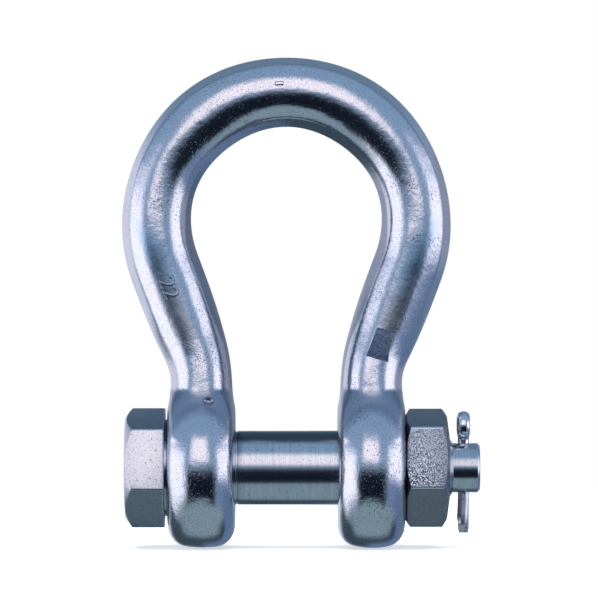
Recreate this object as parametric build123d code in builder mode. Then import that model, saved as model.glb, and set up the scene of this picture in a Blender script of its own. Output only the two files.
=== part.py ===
"""Bolt-type bow shackle, nominal size 22 mm.

Four loose pieces: the forged bow, the bolt with its hexagon head and drilled dog end,
the hexagon nut, and the split pin that keeps the nut on.

Frame: the origin is on the bolt's axis, midway between the two eyes. +X runs along the
bolt from its head to its nut, +Z runs up to the crown of the bow, and the bow lies in
the plane Y = 0. Units are millimetres.
"""

from build123d import *
from math import acos, asin, cos, degrees, pi, radians, sin, sqrt, tan
import os

os.makedirs("parts", exist_ok=True)

# ---- driving dimensions: the bow -----------------------------------------------------
BAR_D = 22.0            # round bar, front to back
CROWN_R = 42.1          # centre line of the bow
CROWN_Z = 79.65         # centre of the bow, above the bolt's axis
LEG_LEAN = 20.5         # lean of the straight part of a leg, in degrees
KNEE_R = 35.0           # bend from the leaning part to the upright neck

JAW_W = 33.2            # clear gap between the eyes
EYE_T = 21.8            # thickness of an eye
EYE_D = 52.0            # over the crowned rim
EYE_CROWN_R = 30.0      # curve across the rim
EYE_SHOULDER_R = 6.8    # rounding from the rim to the flat sides
EYE_BORE_D = 25.0
BORE_CHAMFER = 0.6

TAPER = 0.03            # the bar gets deeper down the legs, by this share of the height
TAPER_TOP_Z = 96.0
SPLAY = 0.48            # and front and back splay outwards at the foot, to meet the eye
SPLAY_TOP_Z = 25.3
CREASE_R = 1.2          # rounding in the crease between leg and eye

# where the section of a leg is given: (height, width in the plane of the bow, fullness),
# where fullness 2 is an ellipse and more is squarer
LEG_SECTIONS = (
    (8.0, 18.0, 3.0),
    (13.0, 20.6, 5.0),
    (17.0, 21.0, 5.5),
    (21.0, 20.9, 5.0),
    (25.0, 20.3, 4.0),
    (29.0, 20.0, 3.5),
    (36.0, 20.4, 3.0),
    (44.0, 21.9, 2.4),
    (53.0, 23.1, 2.0),
    (61.0, 23.3, 2.0),
)
# and round the bow: (degrees up from the level of its centre, width)
ARC_SECTIONS = ((-15, 23.0), (0, 22.3), (22, 22.5), (45, 23.4), (66, 23.3), (90, 22.7))
OVAL_POINTS = 24

# ---- driving dimensions: bolt, nut and split pin -------------------------------------
BOLT_D = 24.0
SHOULDER_X = 38.5       # the nut is drawn up against this shoulder
SHOULDER_CHAMFER = 0.5
THREAD_D = 20.0
THREAD_END_X = 53.6
THREAD_CHAMFER_X = 1.0  # length of the cone from the thread down to the dog end
DOG_D = 16.0            # plain end, past the thread
BOLT_END_X = 62.6
DOG_CHAMFER = 0.8
PIN_HOLE_D = 4.2
PIN_X = 57.4            # split pin, along the bolt

HEX_AF = 34.1           # across the flats, head and nut alike
HEAD_LEAN = 11.0        # the head's front flat looks up by this much, in degrees
HEAD_T = 12.85
HEAD_END_D = 32.6       # circle left flat on the head's end by its chamfer
HEAD_CHAMFER = 35.0     # angle of the corner chamfer, in degrees
WASHER_FACE_D = 31.4    # raised face under the head
WASHER_FACE_T = 0.7
HEAD_PLAY = 0.15        # washer face to eye
NUT_LEAN = 13.5         # and the nut's front flat, in degrees
NUT_T = 14.3
NUT_PLAY = 0.1          # nut to shoulder
NUT_INNER_D = 34.0      # circle left flat by the chamfer, on the eye's side
NUT_OUTER_D = 33.4      # and on the split pin's side
NUT_CHAMFER = 30.0      # angle of both chamfers, in degrees
NUT_DISH = 0.9          # the outer face falls off by this much from the thread to its chamfer
THREAD_PLAY = 0.06      # on the radius

WIRE_R = 1.85           # half-round wire of the split pin
WIRE_GAP = 0.05         # from each leg's flat face to the middle
LOOP_R = 2.9            # inside of the loop
LOOP_NECK_R = 2.3       # bend from the legs into the loop
LOOP_START_Z = 9.0
SHORT_LEG_Z = -18.0
LONG_LEG_Z = -21.1

# ---- sizes that follow ---------------------------------------------------------------
EYE_X = (JAW_W + EYE_T) / 2
EYE_R = EYE_D / 2
HEX_CORNER_R = HEX_AF / sqrt(3)
HEAD_FACE_X = -(JAW_W / 2 + EYE_T + HEAD_PLAY)
HEAD_INNER_X = HEAD_FACE_X - WASHER_FACE_T
HEAD_END_X = HEAD_INNER_X - HEAD_T
NUT_INNER_X = SHOULDER_X + NUT_PLAY
NUT_OUTER_X = NUT_INNER_X + NUT_T

lean = radians(LEG_LEAN)
arc_end_x = CROWN_R * cos(lean)
arc_end_z = CROWN_Z - CROWN_R * sin(lean)
knee_z = arc_end_z - (arc_end_x - EYE_X) / tan(lean)


# ---- bow -----------------------------------------------------------------------------
# One drop forging: a round bar bent to a bow, whose legs narrow at the neck and flare
# front and back into two crowned eyes, bored in line for the bolt.

def half_depth(z):
    """Half of the bar's depth, front to back, at height z: it grows down the leg, and more at its foot."""
    return BAR_D / 2 + TAPER * max(TAPER_TOP_Z - z, 0) + SPLAY * max(SPLAY_TOP_Z - z, 0)


def oval(half_width, half_height, fullness):
    """Points of a closed oval about the origin."""
    points = []
    for step in range(OVAL_POINTS):
        c = cos(2 * pi * step / OVAL_POINTS)
        s = sin(2 * pi * step / OVAL_POINTS)
        reach = (abs(c) ** fullness + abs(s) ** fullness) ** (-1 / fullness)
        points.append((half_width * c * reach, half_height * s * reach))
    return points


def leg_point(z):
    """The right leg's centre line at height z, and the angle it leans out there."""
    bend_start_z = knee_z - KNEE_R * tan(lean / 2)
    bend_end_z = knee_z + KNEE_R * tan(lean / 2) * cos(lean)
    if z <= bend_start_z:
        return EYE_X, 0.0
    if z >= bend_end_z:
        return EYE_X + (z - knee_z) * tan(lean), lean
    angle = asin((z - bend_start_z) / KNEE_R)
    return EYE_X + KNEE_R * (1 - cos(angle)), angle


# sections of the right half, from the eye to the crown, and their mirror images
right_half = []
for z, width, fullness in LEG_SECTIONS:
    x, angle = leg_point(z)
    right_half.append((x, z, angle, width, half_depth(z), fullness))
for degrees_up, width in ARC_SECTIONS:
    angle = radians(degrees_up)
    x, z = CROWN_R * cos(angle), CROWN_Z + CROWN_R * sin(angle)
    right_half.append((x, z, -angle, width, half_depth(z), 2.0))
left_half = [(-x, z, pi - turn, w, depth, full) for x, z, turn, w, depth, full in right_half[-2::-1]]

with BuildPart() as bow:
    for x, z, turn, width, depth, fullness in right_half + left_half:
        outward, forward = (cos(turn), 0, -sin(turn)), (sin(turn), 0, cos(turn))
        with BuildSketch(Plane((x, 0, z), x_dir=outward, z_dir=forward)):
            with BuildLine():
                Spline(*oval(width / 2, depth, fullness), periodic=True)
            make_face()
    loft()
    for side in (-1, 1):
        x0, x1 = side * EYE_X - EYE_T / 2, side * EYE_X + EYE_T / 2
        rim_edge_z = EYE_R - EYE_CROWN_R + sqrt(EYE_CROWN_R**2 - (EYE_T / 2) ** 2)
        with BuildSketch(Plane.XZ):
            with BuildLine():
                ThreePointArc((x0, -rim_edge_z), (side * EYE_X, -EYE_R), (x1, -rim_edge_z))
                Polyline((x1, -rim_edge_z), (x1, 0), (x0, 0), (x0, -rim_edge_z))
            make_face()
            fillet(vertices().group_by(Axis.Y)[0], EYE_SHOULDER_R)
        revolve(axis=Axis.X)
    creases = [
        e for e in edges().filter_by(GeomType.BSPLINE)
        if 0 < e.bounding_box().min.Z and e.bounding_box().max.Z < EYE_R + CREASE_R
    ]
    fillet(creases, CREASE_R)
    with BuildSketch(Plane.YZ):
        Circle(EYE_BORE_D / 2)
    extrude(amount=2 * EYE_X, both=True, mode=Mode.SUBTRACT)
    bore_mouths = [e for e in edges().filter_by(GeomType.CIRCLE) if abs(e.radius - EYE_BORE_D / 2) < 0.01]
    chamfer(bore_mouths, BORE_CHAMFER)

bow.part.label = "bow"
export_step(bow.part, "parts/bow.step")


# ---- bolt ----------------------------------------------------------------------------
# Turned and milled from one hexagon bar: head, washer face, ground shank, shoulder,
# thread and a plain dog end, cross-drilled for the split pin.

with BuildPart() as bolt:
    with BuildSketch(Plane.YZ.offset(HEAD_END_X)):
        RegularPolygon(HEX_AF / 2, 6, major_radius=False, rotation=30 - HEAD_LEAN)
    extrude(amount=HEAD_T)
    chamfer_x = (HEX_CORNER_R - HEAD_END_D / 2) * tan(radians(HEAD_CHAMFER))
    with BuildSketch(Plane.XZ):
        with BuildLine():
            Polyline(
                (HEAD_END_X, 0),
                (HEAD_END_X, HEAD_END_D / 2),
                (HEAD_END_X + chamfer_x, HEX_CORNER_R),
                (HEAD_INNER_X, HEX_CORNER_R),
                (HEAD_INNER_X, 0),
                close=True,
            )
        make_face()
    revolve(axis=Axis.X, mode=Mode.INTERSECT)
    with BuildSketch(Plane.XZ):
        with BuildLine():
            Polyline(
                (HEAD_INNER_X, 0),
                (HEAD_INNER_X, WASHER_FACE_D / 2),
                (HEAD_FACE_X, WASHER_FACE_D / 2),
                (HEAD_FACE_X, BOLT_D / 2),
                (SHOULDER_X - SHOULDER_CHAMFER, BOLT_D / 2),
                (SHOULDER_X, BOLT_D / 2 - SHOULDER_CHAMFER),
                (SHOULDER_X, THREAD_D / 2),
                (THREAD_END_X - THREAD_CHAMFER_X, THREAD_D / 2),
                (THREAD_END_X, DOG_D / 2),
                (BOLT_END_X - DOG_CHAMFER, DOG_D / 2),
                (BOLT_END_X, DOG_D / 2 - DOG_CHAMFER),
                (BOLT_END_X, 0),
                close=True,
            )
        make_face()
    revolve(axis=Axis.X)
    with Locations((PIN_X, 0, 0)):
        Hole(PIN_HOLE_D / 2)

bolt.part.label = "bolt"
export_step(bolt.part, "parts/bolt.step")


# ---- nut -----------------------------------------------------------------------------
# Plain hexagon nut, its outer end chamfered more than the end that faces the eye.
with BuildPart() as nut:
    with BuildSketch(Plane.YZ.offset(NUT_INNER_X)):
        RegularPolygon(HEX_AF / 2, 6, major_radius=False, rotation=30 - NUT_LEAN)
        Circle(THREAD_D / 2 + THREAD_PLAY, mode=Mode.SUBTRACT)
    extrude(amount=NUT_T)
    inner_x = (HEX_CORNER_R - NUT_INNER_D / 2) * tan(radians(NUT_CHAMFER))
    outer_x = (HEX_CORNER_R - NUT_OUTER_D / 2) * tan(radians(NUT_CHAMFER))
    with BuildSketch(Plane.XZ):
        with BuildLine():
            Polyline(
                (NUT_INNER_X, 0),
                (NUT_INNER_X, NUT_INNER_D / 2),
                (NUT_INNER_X + inner_x, HEX_CORNER_R),
                (NUT_OUTER_X - NUT_DISH - outer_x, HEX_CORNER_R),
                (NUT_OUTER_X - NUT_DISH, NUT_OUTER_D / 2),
                (NUT_OUTER_X, THREAD_D / 2),
                (NUT_OUTER_X, 0),
                close=True,
            )
        make_face()
    revolve(axis=Axis.X, mode=Mode.INTERSECT)

nut.part.label = "nut"
export_step(nut.part, "parts/nut.step")


# ---- split pin -----------------------------------------------------------------------
# Half-round wire folded on itself: two legs flat to flat, and a loop that stops it in
# the bolt's hole. The back leg is the longer one.
neck_turn = acos((WIRE_GAP + LOOP_NECK_R) / (LOOP_R + LOOP_NECK_R))
with BuildPart() as split_pin:
    with BuildLine(Plane.YZ.offset(PIN_X)) as wire:
        front_leg = Line((-WIRE_GAP, SHORT_LEG_Z), (-WIRE_GAP, LOOP_START_Z))
        neck_in = JernArc(front_leg @ 1, front_leg % 1, LOOP_NECK_R, degrees(neck_turn))
        loop = JernArc(neck_in @ 1, neck_in % 1, LOOP_R, -(180 + 2 * degrees(neck_turn)))
        neck_out = JernArc(loop @ 1, loop % 1, LOOP_NECK_R, degrees(neck_turn))
        Line(neck_out @ 1, (WIRE_GAP, LONG_LEG_Z))
    with BuildSketch(Plane((PIN_X, -WIRE_GAP, SHORT_LEG_Z), x_dir=(1, 0, 0), z_dir=(0, 0, 1))):
        Circle(WIRE_R)
        with Locations((0, WIRE_R)):
            Rectangle(2 * WIRE_R, 2 * WIRE_R, mode=Mode.SUBTRACT)
    sweep(path=wire.wire())

split_pin.part.label = "split_pin"
export_step(split_pin.part, "parts/split_pin.step")
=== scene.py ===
import bmesh
import bpy
import math
import numpy as np
from mathutils import Matrix, Vector


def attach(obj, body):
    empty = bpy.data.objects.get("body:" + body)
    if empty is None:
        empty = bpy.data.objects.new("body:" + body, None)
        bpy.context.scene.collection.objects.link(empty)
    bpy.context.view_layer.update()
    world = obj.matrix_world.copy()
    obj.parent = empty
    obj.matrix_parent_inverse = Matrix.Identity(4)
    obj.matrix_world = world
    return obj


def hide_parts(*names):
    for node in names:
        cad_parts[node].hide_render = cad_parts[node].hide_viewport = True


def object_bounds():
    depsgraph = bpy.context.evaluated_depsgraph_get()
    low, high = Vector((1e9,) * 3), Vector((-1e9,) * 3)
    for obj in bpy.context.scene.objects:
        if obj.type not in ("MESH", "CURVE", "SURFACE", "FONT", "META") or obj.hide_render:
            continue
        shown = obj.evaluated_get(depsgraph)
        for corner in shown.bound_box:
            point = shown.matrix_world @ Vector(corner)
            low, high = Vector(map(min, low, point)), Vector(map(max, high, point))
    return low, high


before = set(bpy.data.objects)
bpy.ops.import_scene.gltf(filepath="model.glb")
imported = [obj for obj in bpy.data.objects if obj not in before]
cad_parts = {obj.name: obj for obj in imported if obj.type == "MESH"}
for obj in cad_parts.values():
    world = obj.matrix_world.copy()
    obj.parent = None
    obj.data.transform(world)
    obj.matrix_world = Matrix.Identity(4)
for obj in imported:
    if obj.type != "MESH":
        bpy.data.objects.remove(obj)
cad_low, cad_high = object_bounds()
MM = 0.001


# ---- Studio ----------------------------------------------------------------------------
# A pale floor and soft light, as a catalogue shows polished metal: a large lamp above the
# lens, one at each side, dark cloth low in front, and a long lens held level.

LOOK_AT = Vector((4.1, 0, 54.7)) * MM
LENS_DISTANCE = 1.4
VIEW_WIDTH = 193.9 * MM
FLOOR_SIZE, FLOOR_FADES_FROM, FLOOR_GONE_AT = 6.0, 0.08, 0.45


def linear(hex_colour):
    """An sRGB hex colour as linear RGBA."""
    channels = [int(hex_colour[i:i + 2], 16) / 255 for i in (1, 3, 5)]
    return (*[c / 12.92 if c <= 0.04045 else ((c + 0.055) / 1.055) ** 2.4 for c in channels], 1.0)


def add_node(tree, kind, inputs=None, **settings):
    """Adds a node with its settings, and gives each named input its value or its link."""
    node = tree.nodes.new(kind)
    for name, value in settings.items():
        setattr(node, name, value)
    for name, value in (inputs or {}).items():
        if isinstance(value, bpy.types.NodeSocket):
            tree.links.new(value, node.inputs[name])
        else:
            node.inputs[name].default_value = value
    return node


def blank_material(name):
    """A new material, and its node tree with nothing in it yet."""
    material = bpy.data.materials.new(name)
    material.use_nodes = True
    material.node_tree.nodes.clear()
    return material, material.node_tree


world = bpy.data.worlds.new("studio")
bpy.context.scene.world = world
world.use_nodes = True
sky = world.node_tree
sky.nodes.clear()
ray = add_node(sky, "ShaderNodeSeparateXYZ",
               {"Vector": add_node(sky, "ShaderNodeTexCoord").outputs["Generated"]})


def window(angle, rises_from, full_from, full_to, falls_to):
    """1 where the angle is between full_from and full_to, falling softly to 0 outside."""
    up = add_node(sky, "ShaderNodeMapRange", {0: angle, 1: rises_from, 2: full_from},
                  interpolation_type="SMOOTHSTEP")
    down = add_node(sky, "ShaderNodeMapRange", {0: angle, 1: falls_to, 2: full_to},
                    interpolation_type="SMOOTHSTEP")
    return add_node(sky, "ShaderNodeMath", {0: up.outputs[0], 1: down.outputs[0]},
                    operation="MULTIPLY").outputs[0]


def over(below, masks, colour, strength=1.0):
    """Lays a light of that colour over what is below, where every mask is 1."""
    share = masks[0]
    for mask in masks[1:]:
        share = add_node(sky, "ShaderNodeMath", {0: share, 1: mask}, operation="MULTIPLY").outputs[0]
    bright = (*[c * strength for c in linear(colour)[:3]], 1.0)
    return add_node(sky, "ShaderNodeMix", {0: share, 6: below, 7: bright}, data_type="RGBA").outputs[2]


# angles are in degrees: elevation up from the level, azimuth to the right of the lens
rise = add_node(sky, "ShaderNodeMath", {0: ray.outputs["Z"]}, operation="ARCSINE")
elevation = add_node(sky, "ShaderNodeMath", {0: rise.outputs[0]}, operation="DEGREES").outputs[0]
forward = add_node(sky, "ShaderNodeMath", {0: ray.outputs["Y"], 1: -1.0}, operation="MULTIPLY").outputs[0]
swing = add_node(sky, "ShaderNodeMath", {0: ray.outputs["X"], 1: forward}, operation="ARCTAN2")
azimuth = add_node(sky, "ShaderNodeMath", {0: swing.outputs[0]}, operation="DEGREES").outputs[0]


def patch(across, up):
    """The masks of a part of the studio, from four azimuths and four elevations."""
    return [window(azimuth, *across), window(elevation, *up)]


# the lower half of the room, then the ceiling and the lower wall on the far side of the object
behind = window(forward, 0.1, -0.35, -1.1, -1.2)
light = add_node(sky, "ShaderNodeRGB").outputs[0]
light.default_value = linear("#90aecf")
light = over(light, [window(elevation, 15, -25, -90, -95)], "#8fa6b2")
light = over(light, [behind, window(elevation, 14, 34, 90, 95)], "#748da5")
light = over(light, [behind, window(elevation, -10, -28, -54, -70)], "#42515d")

# level screens behind the object at the left and at the right, and a dim board low at the right
light = over(light, patch((-200, -190, -118, -98), (-24, -8, 10, 26)), "#dde0f0", 1.15)
light = over(light, patch((96, 114, 190, 200), (-12, -3, 10, 26)), "#99a3b8")
light = over(light, patch((44, 58, 190, 200), (-46, -34, -14, -5)), "#7a90b8")
light = over(light, patch((62, 96, 190, 200), (-46, -34, -14, -5)), "#6c84a4")

# dark cloth low in front, its two sides spread apart towards the floor
cloth_left = add_node(sky, "ShaderNodeMath", {0: elevation, 1: -0.4, 2: azimuth}, operation="MULTIPLY_ADD")
cloth_right = add_node(sky, "ShaderNodeMath", {0: elevation, 1: 0.3, 2: azimuth}, operation="MULTIPLY_ADD")
cloth = [window(cloth_left.outputs[0], -43, -28, 170, 180),
         window(cloth_right.outputs[0], -180, -170, 32, 47), window(elevation, -49, -44, -9, 11)]
light = over(light, cloth, "#121a28")

# the lamp above the lens, and the lamps at the left and at the right
light = over(light, patch((-36, -20, 14, 30), (7, 13, 37, 51)), "#fbf3fb", 1.38)
light = over(light, patch((-114, -94, -58, -38), (-46, -24, 11, 29)), "#f1efff", 1.6)
light = over(light, patch((44, 58, 90, 116), (-19, -4, 14, 33)), "#f1efff", 1.6)

# the backdrop is plain white
light = over(light, [add_node(sky, "ShaderNodeLightPath").outputs["Is Camera Ray"]], "#ffffff")
sky_light = add_node(sky, "ShaderNodeBackground", {"Color": light})
add_node(sky, "ShaderNodeOutputWorld", {"Surface": sky_light.outputs[0]})

# White paint, lit through a little from below so that it takes hardly a shadow. It fades away
# before its edge, where the white of the backdrop takes over.
floor_paint, tree = blank_material("pale_floor_paint")
place = add_node(tree, "ShaderNodeTexCoord").outputs["Object"]
distance = add_node(tree, "ShaderNodeVectorMath", {0: place}, operation="LENGTH").outputs["Value"]
fade = add_node(tree, "ShaderNodeMapRange", {0: distance, 1: FLOOR_FADES_FROM, 2: FLOOR_GONE_AT})
paint = add_node(tree, "ShaderNodeBsdfDiffuse", {"Color": linear("#fffcf6")})
glow = add_node(tree, "ShaderNodeEmission", {"Color": linear("#ffffff"), "Strength": 0.5})
lit_paint = add_node(tree, "ShaderNodeAddShader", {0: paint.outputs[0], 1: glow.outputs[0]})
nothing = add_node(tree, "ShaderNodeBsdfTransparent")
edge = add_node(tree, "ShaderNodeMixShader",
                {0: fade.outputs[0], 1: lit_paint.outputs[0], 2: nothing.outputs[0]})
add_node(tree, "ShaderNodeOutputMaterial", {"Surface": edge.outputs[0]})

bpy.ops.object.select_all(action="DESELECT")
bpy.ops.mesh.primitive_plane_add(size=FLOOR_SIZE, location=(0, 0, cad_low.z))
floor = bpy.context.object
floor.name = "floor"
floor.visible_glossy = False
floor.data.materials.append(floor_paint)

camera = bpy.data.objects.new("camera", bpy.data.cameras.new("camera"))
bpy.context.scene.collection.objects.link(camera)
camera.data.sensor_width = 36.0
camera.data.lens = camera.data.sensor_width * LENS_DISTANCE / VIEW_WIDTH
camera.location = LOOK_AT - Vector((0, LENS_DISTANCE, 0))
camera.rotation_euler = (math.pi / 2, 0, 0)
bpy.context.scene.camera = camera
bpy.context.scene.view_settings.view_transform = "Standard"

# one more lamp, high overhead and left out of every reflection, lights the floor
lamp = bpy.data.lights.new("overhead", "AREA")
lamp.shape = "DISK"
lamp.size = 1.6
lamp.energy = 40
overhead = bpy.data.objects.new("overhead", lamp)
overhead.location = (0, -0.4, 1.6)
overhead.rotation_euler = (math.radians(-14), 0, 0)
overhead.visible_glossy = False
bpy.context.scene.collection.objects.link(overhead)


# ---- Bow -------------------------------------------------------------------------------
# The body of the shackle: one drop forging in stainless steel, a round bar bent to a bow
# whose legs narrow at the neck and flare into two crowned eyes, bored in line afterwards.

BAR_R = 11.0
CROWN_R, CROWN_Z = 42.1, 79.65
LEG_LEAN = math.radians(20.5)
KNEE_R = 35.0
EYE_X, EYE_R, EYE_HALF = 27.5, 26.0, 10.9
EYE_CROWN_R, EYE_SHOULDER_R, EYE_FRONT_R = 30.0, 6.8, 13.0
# where half of the bar's depth changes its growth down the leg: the height, what is added to the
# growth from there down, and over how much to each side the change is spread
DEPTH_BENDS = ((121.0, -0.020, 8.0), (96.0, 0.098, 5.0), (74.0, -0.080, 4.0), (41.0, 0.110, 4.0),
               (24.4, 0.400, 1.0))
LEG_FOOT_Z, LEG_GONE_Z, LEG_GONE_SIZE = 10.0, 3.0, 0.55
# the power of the section's outline, which is 2 for an ellipse and grows at the neck and at the foot
OVAL_POWER, NECK_POWER, FOOT_POWER = 2.0, 0.4, 5.6
NECK_SPAN, FOOT_SPAN, EYE_TOP_Z, EYE_CAP = (26, 44), (16, 26), 18, 4
CREASE = 0.6
TRIM, TRIM_SPAN = math.radians(39.375), (42, 60)
BORE_R, BORE_CHAMFER = 12.5, 0.6
ROUND = 64


def smooth_step(value, low, high):
    share = min(max((value - low) / (high - low), 0.0), 1.0)
    return share * share * (3 - 2 * share)


# the width of the bar in the plane of the bow, at places along it from the eye to the crown
arc_end = Vector((CROWN_R * math.cos(LEG_LEAN), 0, CROWN_Z - CROWN_R * math.sin(LEG_LEAN)))
knee_z = arc_end.z - (arc_end.x - EYE_X) / math.tan(LEG_LEAN)
knee_start_z = knee_z - KNEE_R * math.tan(LEG_LEAN / 2)
knee_end_z = knee_z + KNEE_R * math.tan(LEG_LEAN / 2) * math.cos(LEG_LEAN)
knee_length = KNEE_R * LEG_LEAN
straight_length = (arc_end.z - knee_end_z) / math.cos(LEG_LEAN)
WIDTHS = ((12, 21.3), (16, 21.3), (20, 21.0), (24, 20.3), (29, 20.0), (36, 20.4), (44, 21.9), (53, 23.1),
          (61, 23.3),
          (67, 23.2), (77, 23.0), (87, 22.4), (97, 22.3), (110, 22.9), (120, 23.4), (136, 23.3), (154, 22.7))
crown_top = knee_start_z + knee_length + straight_length + CROWN_R * (math.pi / 2 + LEG_LEAN)
width_curve = np.polynomial.Polynomial.fit([(crown_top - w[0]) ** 2 for w in WIDTHS], [w[1] for w in WIDTHS],
                                           9)


def bar_station(length):
    """Centre and outward direction of the bar, that far along it from the level of the bolt."""
    if length < knee_start_z:
        return Vector((EYE_X, 0, length)), Vector((1, 0, 0))
    length -= knee_start_z
    if length < knee_length:
        turn = length / KNEE_R
        centre = Vector((EYE_X + KNEE_R * (1 - math.cos(turn)), 0, knee_start_z + KNEE_R * math.sin(turn)))
        return centre, Vector((math.cos(turn), 0, -math.sin(turn)))
    length -= knee_length
    if length < straight_length:
        centre = arc_end - Vector((math.sin(LEG_LEAN), 0, math.cos(LEG_LEAN))) * (straight_length - length)
        return centre, Vector((math.cos(LEG_LEAN), 0, -math.sin(LEG_LEAN)))
    turn = (length - straight_length) / CROWN_R - LEG_LEAN
    outward = Vector((math.cos(turn), 0, math.sin(turn)))
    return Vector((0, 0, CROWN_Z)) + outward * CROWN_R, outward


def ramp(value, softness):
    """0 below 0 and the value itself above it, rounded over that much on each side."""
    value = max(value, -softness)
    return value if value > softness else (value + softness) ** 2 / (4 * softness)


def bar_depth(z):
    """Half of the bar's depth, front to back: it grows in steps down the leg, then splays at its foot."""
    return BAR_R + sum(slope * ramp(top - max(z, LEG_FOOT_Z), softness) for top, slope,
                       softness in DEPTH_BENDS)


def eye_rim(across, z):
    """Radius of the eye's outside, that far from its middle towards a flat side, at height z."""
    across = abs(across)
    if across > EYE_HALF:
        return 0.0
    shoulder_x = EYE_HALF - EYE_SHOULDER_R
    crown_centre = EYE_R - EYE_CROWN_R
    shoulder_r = crown_centre + math.sqrt((EYE_CROWN_R - EYE_SHOULDER_R) ** 2 - shoulder_x**2)
    if across > shoulder_x * EYE_CROWN_R / (EYE_CROWN_R - EYE_SHOULDER_R):
        at_foot = shoulder_r + math.sqrt(EYE_SHOULDER_R**2 - (across - shoulder_x) ** 2)
    else:
        at_foot = crown_centre + math.sqrt(EYE_CROWN_R**2 - across**2)
    in_front = EYE_R - EYE_FRONT_R + math.sqrt(EYE_FRONT_R**2 - across**2)
    flatness = smooth_step(abs(z) / EYE_R, 0.3, 0.95)
    return at_foot * flatness + min(at_foot, in_front) * (1 - flatness)


def eye_reach(z, dx, dy):
    """How many times (dx, dy) reaches the outside of the eye in the level plane at z."""
    low, high = 0.0, 1.6
    for _ in range(30):
        middle = (low + high) / 2
        inside = math.hypot(z, middle * dy) < eye_rim(middle * dx, z)
        low, high = (middle, high) if inside else (low, middle)
    return low


def bar_ring(length):
    """The points round the forging, that far along the bar from the level of the bolt."""
    centre, outward = bar_station(length)
    z = centre.z
    width, depth = width_curve((crown_top - max(length, WIDTHS[0][0])) ** 2) / 2, bar_depth(z)
    power = OVAL_POWER + NECK_POWER * (1 - smooth_step(z, *NECK_SPAN))
    power += FOOT_POWER * (1 - smooth_step(z, *FOOT_SPAN))
    shrink = LEG_GONE_SIZE + (1 - LEG_GONE_SIZE) * smooth_step(z, LEG_GONE_Z, LEG_FOOT_Z)
    trim = smooth_step(z, *TRIM_SPAN)
    at_eye = length < EYE_R
    half_x, half_y = width, depth
    if at_eye:
        half_x = max(width, EYE_HALF * (1 - smooth_step(z, EYE_TOP_Z, EYE_R)))
        half_y = max(depth if z > LEG_FOOT_Z else 0, math.sqrt(EYE_R**2 - z**2))
    if z < -EYE_R + EYE_CAP:
        half_x = half_y * EYE_HALF / math.sqrt(EYE_R**2 - (EYE_R - EYE_CAP) ** 2)
    points = []
    for step in range(ROUND):
        c, s = math.cos(2 * math.pi * step / ROUND), math.sin(2 * math.pi * step / ROUND)
        dx, dy = half_x * c, half_y * s
        reach = 0.0
        if z > LEG_GONE_Z:
            reach = shrink * ((abs(dx) / width) ** power + (abs(dy) / depth) ** power) ** (-1 / power)
        if trim > 0:
            chord = math.cos(TRIM / 2) / (abs(c) * math.cos(TRIM / 2) + abs(s) * math.sin(TRIM / 2))
            reach += trim * min(chord - reach, 0)
        if at_eye:
            at_rim, size = eye_reach(z, dx, dy), math.hypot(dx, dy)
            blend = max(CREASE - abs(reach - at_rim) * size, 0) / CREASE if reach > 0 else 0.0
            reach = max(reach, at_rim) + blend**2 * CREASE / 4 / size
        points.append((centre + outward * (dx * reach) + Vector((0, dy * reach, 0))) * MM)
    return points


def object_of(shape, name):
    """Makes an object of a finished bmesh, and leaves it selected on its own."""
    mesh = bpy.data.meshes.new(name)
    shape.to_mesh(mesh)
    shape.free()
    piece = bpy.data.objects.new(name, mesh)
    bpy.context.scene.collection.objects.link(piece)
    bpy.ops.object.select_all(action="DESELECT")
    bpy.context.view_layer.objects.active = piece
    piece.select_set(True)
    return piece


def face_outwards():
    """Turns every face of the active piece outwards."""
    bpy.ops.object.mode_set(mode="EDIT")
    bpy.ops.mesh.select_all(action="SELECT")
    bpy.ops.mesh.normals_make_consistent(inside=False)
    bpy.ops.object.mode_set(mode="OBJECT")


# the sections lie closest together on the upper half of the eye and round the crease
stations = [-EYE_R * math.cos(math.radians(a)) for a in range(5, 68, 4)]
stations += list(np.arange(-9.0, 27.0, 0.9))
stations += list(np.linspace(27.0, crown_top, 60))

steel = bmesh.new()
rings = []
for length in stations:
    rings.append([steel.verts.new(p) for p in bar_ring(length)])
for ring, next_ring in zip(rings, rings[1:]):
    for i in range(ROUND):
        steel.faces.new((ring[i], ring[(i + 1) % ROUND], next_ring[(i + 1) % ROUND], next_ring[i]))
pole = steel.verts.new(Vector((EYE_X, 0, -EYE_R)) * MM)
for i in range(ROUND):
    steel.faces.new((rings[0][(i + 1) % ROUND], rings[0][i], pole))
bow = object_of(steel, "bow_forging")
mirror = bow.modifiers.new("other_half", "MIRROR")
mirror.merge_threshold = 0.02 * MM
bpy.ops.object.modifier_apply(modifier=mirror.name)
smoothing = bow.modifiers.new("smooth", "SUBSURF")
smoothing.levels = smoothing.render_levels = 1
bpy.ops.object.modifier_apply(modifier=smoothing.name)
face_outwards()


def turned_bar(name, profile, around):
    """A solid turned about the X axis from (x, radius) points, closed with a flat at each end."""
    bpy.ops.object.select_all(action="DESELECT")
    bpy.ops.mesh.primitive_circle_add(vertices=around, radius=profile[0][1] * MM, fill_type="NGON",
                                      location=(profile[0][0] * MM, 0, 0),
                                      rotation=(0, math.pi / 2, 0))
    bar = bpy.context.object
    bar.name = name
    bpy.ops.object.transform_apply(location=True, rotation=True, scale=True)
    bpy.ops.object.mode_set(mode="EDIT")
    bpy.ops.mesh.select_all(action="SELECT")
    for (x0, r0), (x1, r1) in zip(profile, profile[1:]):
        bpy.ops.mesh.extrude_region_move(TRANSFORM_OT_translate={"value": ((x1 - x0) * MM, 0, 0)})
        bpy.ops.transform.resize(value=(1, r1 / r0, r1 / r0),
                                 center_override=(x1 * MM, 0, 0))
    face_outwards()
    return bar


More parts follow.
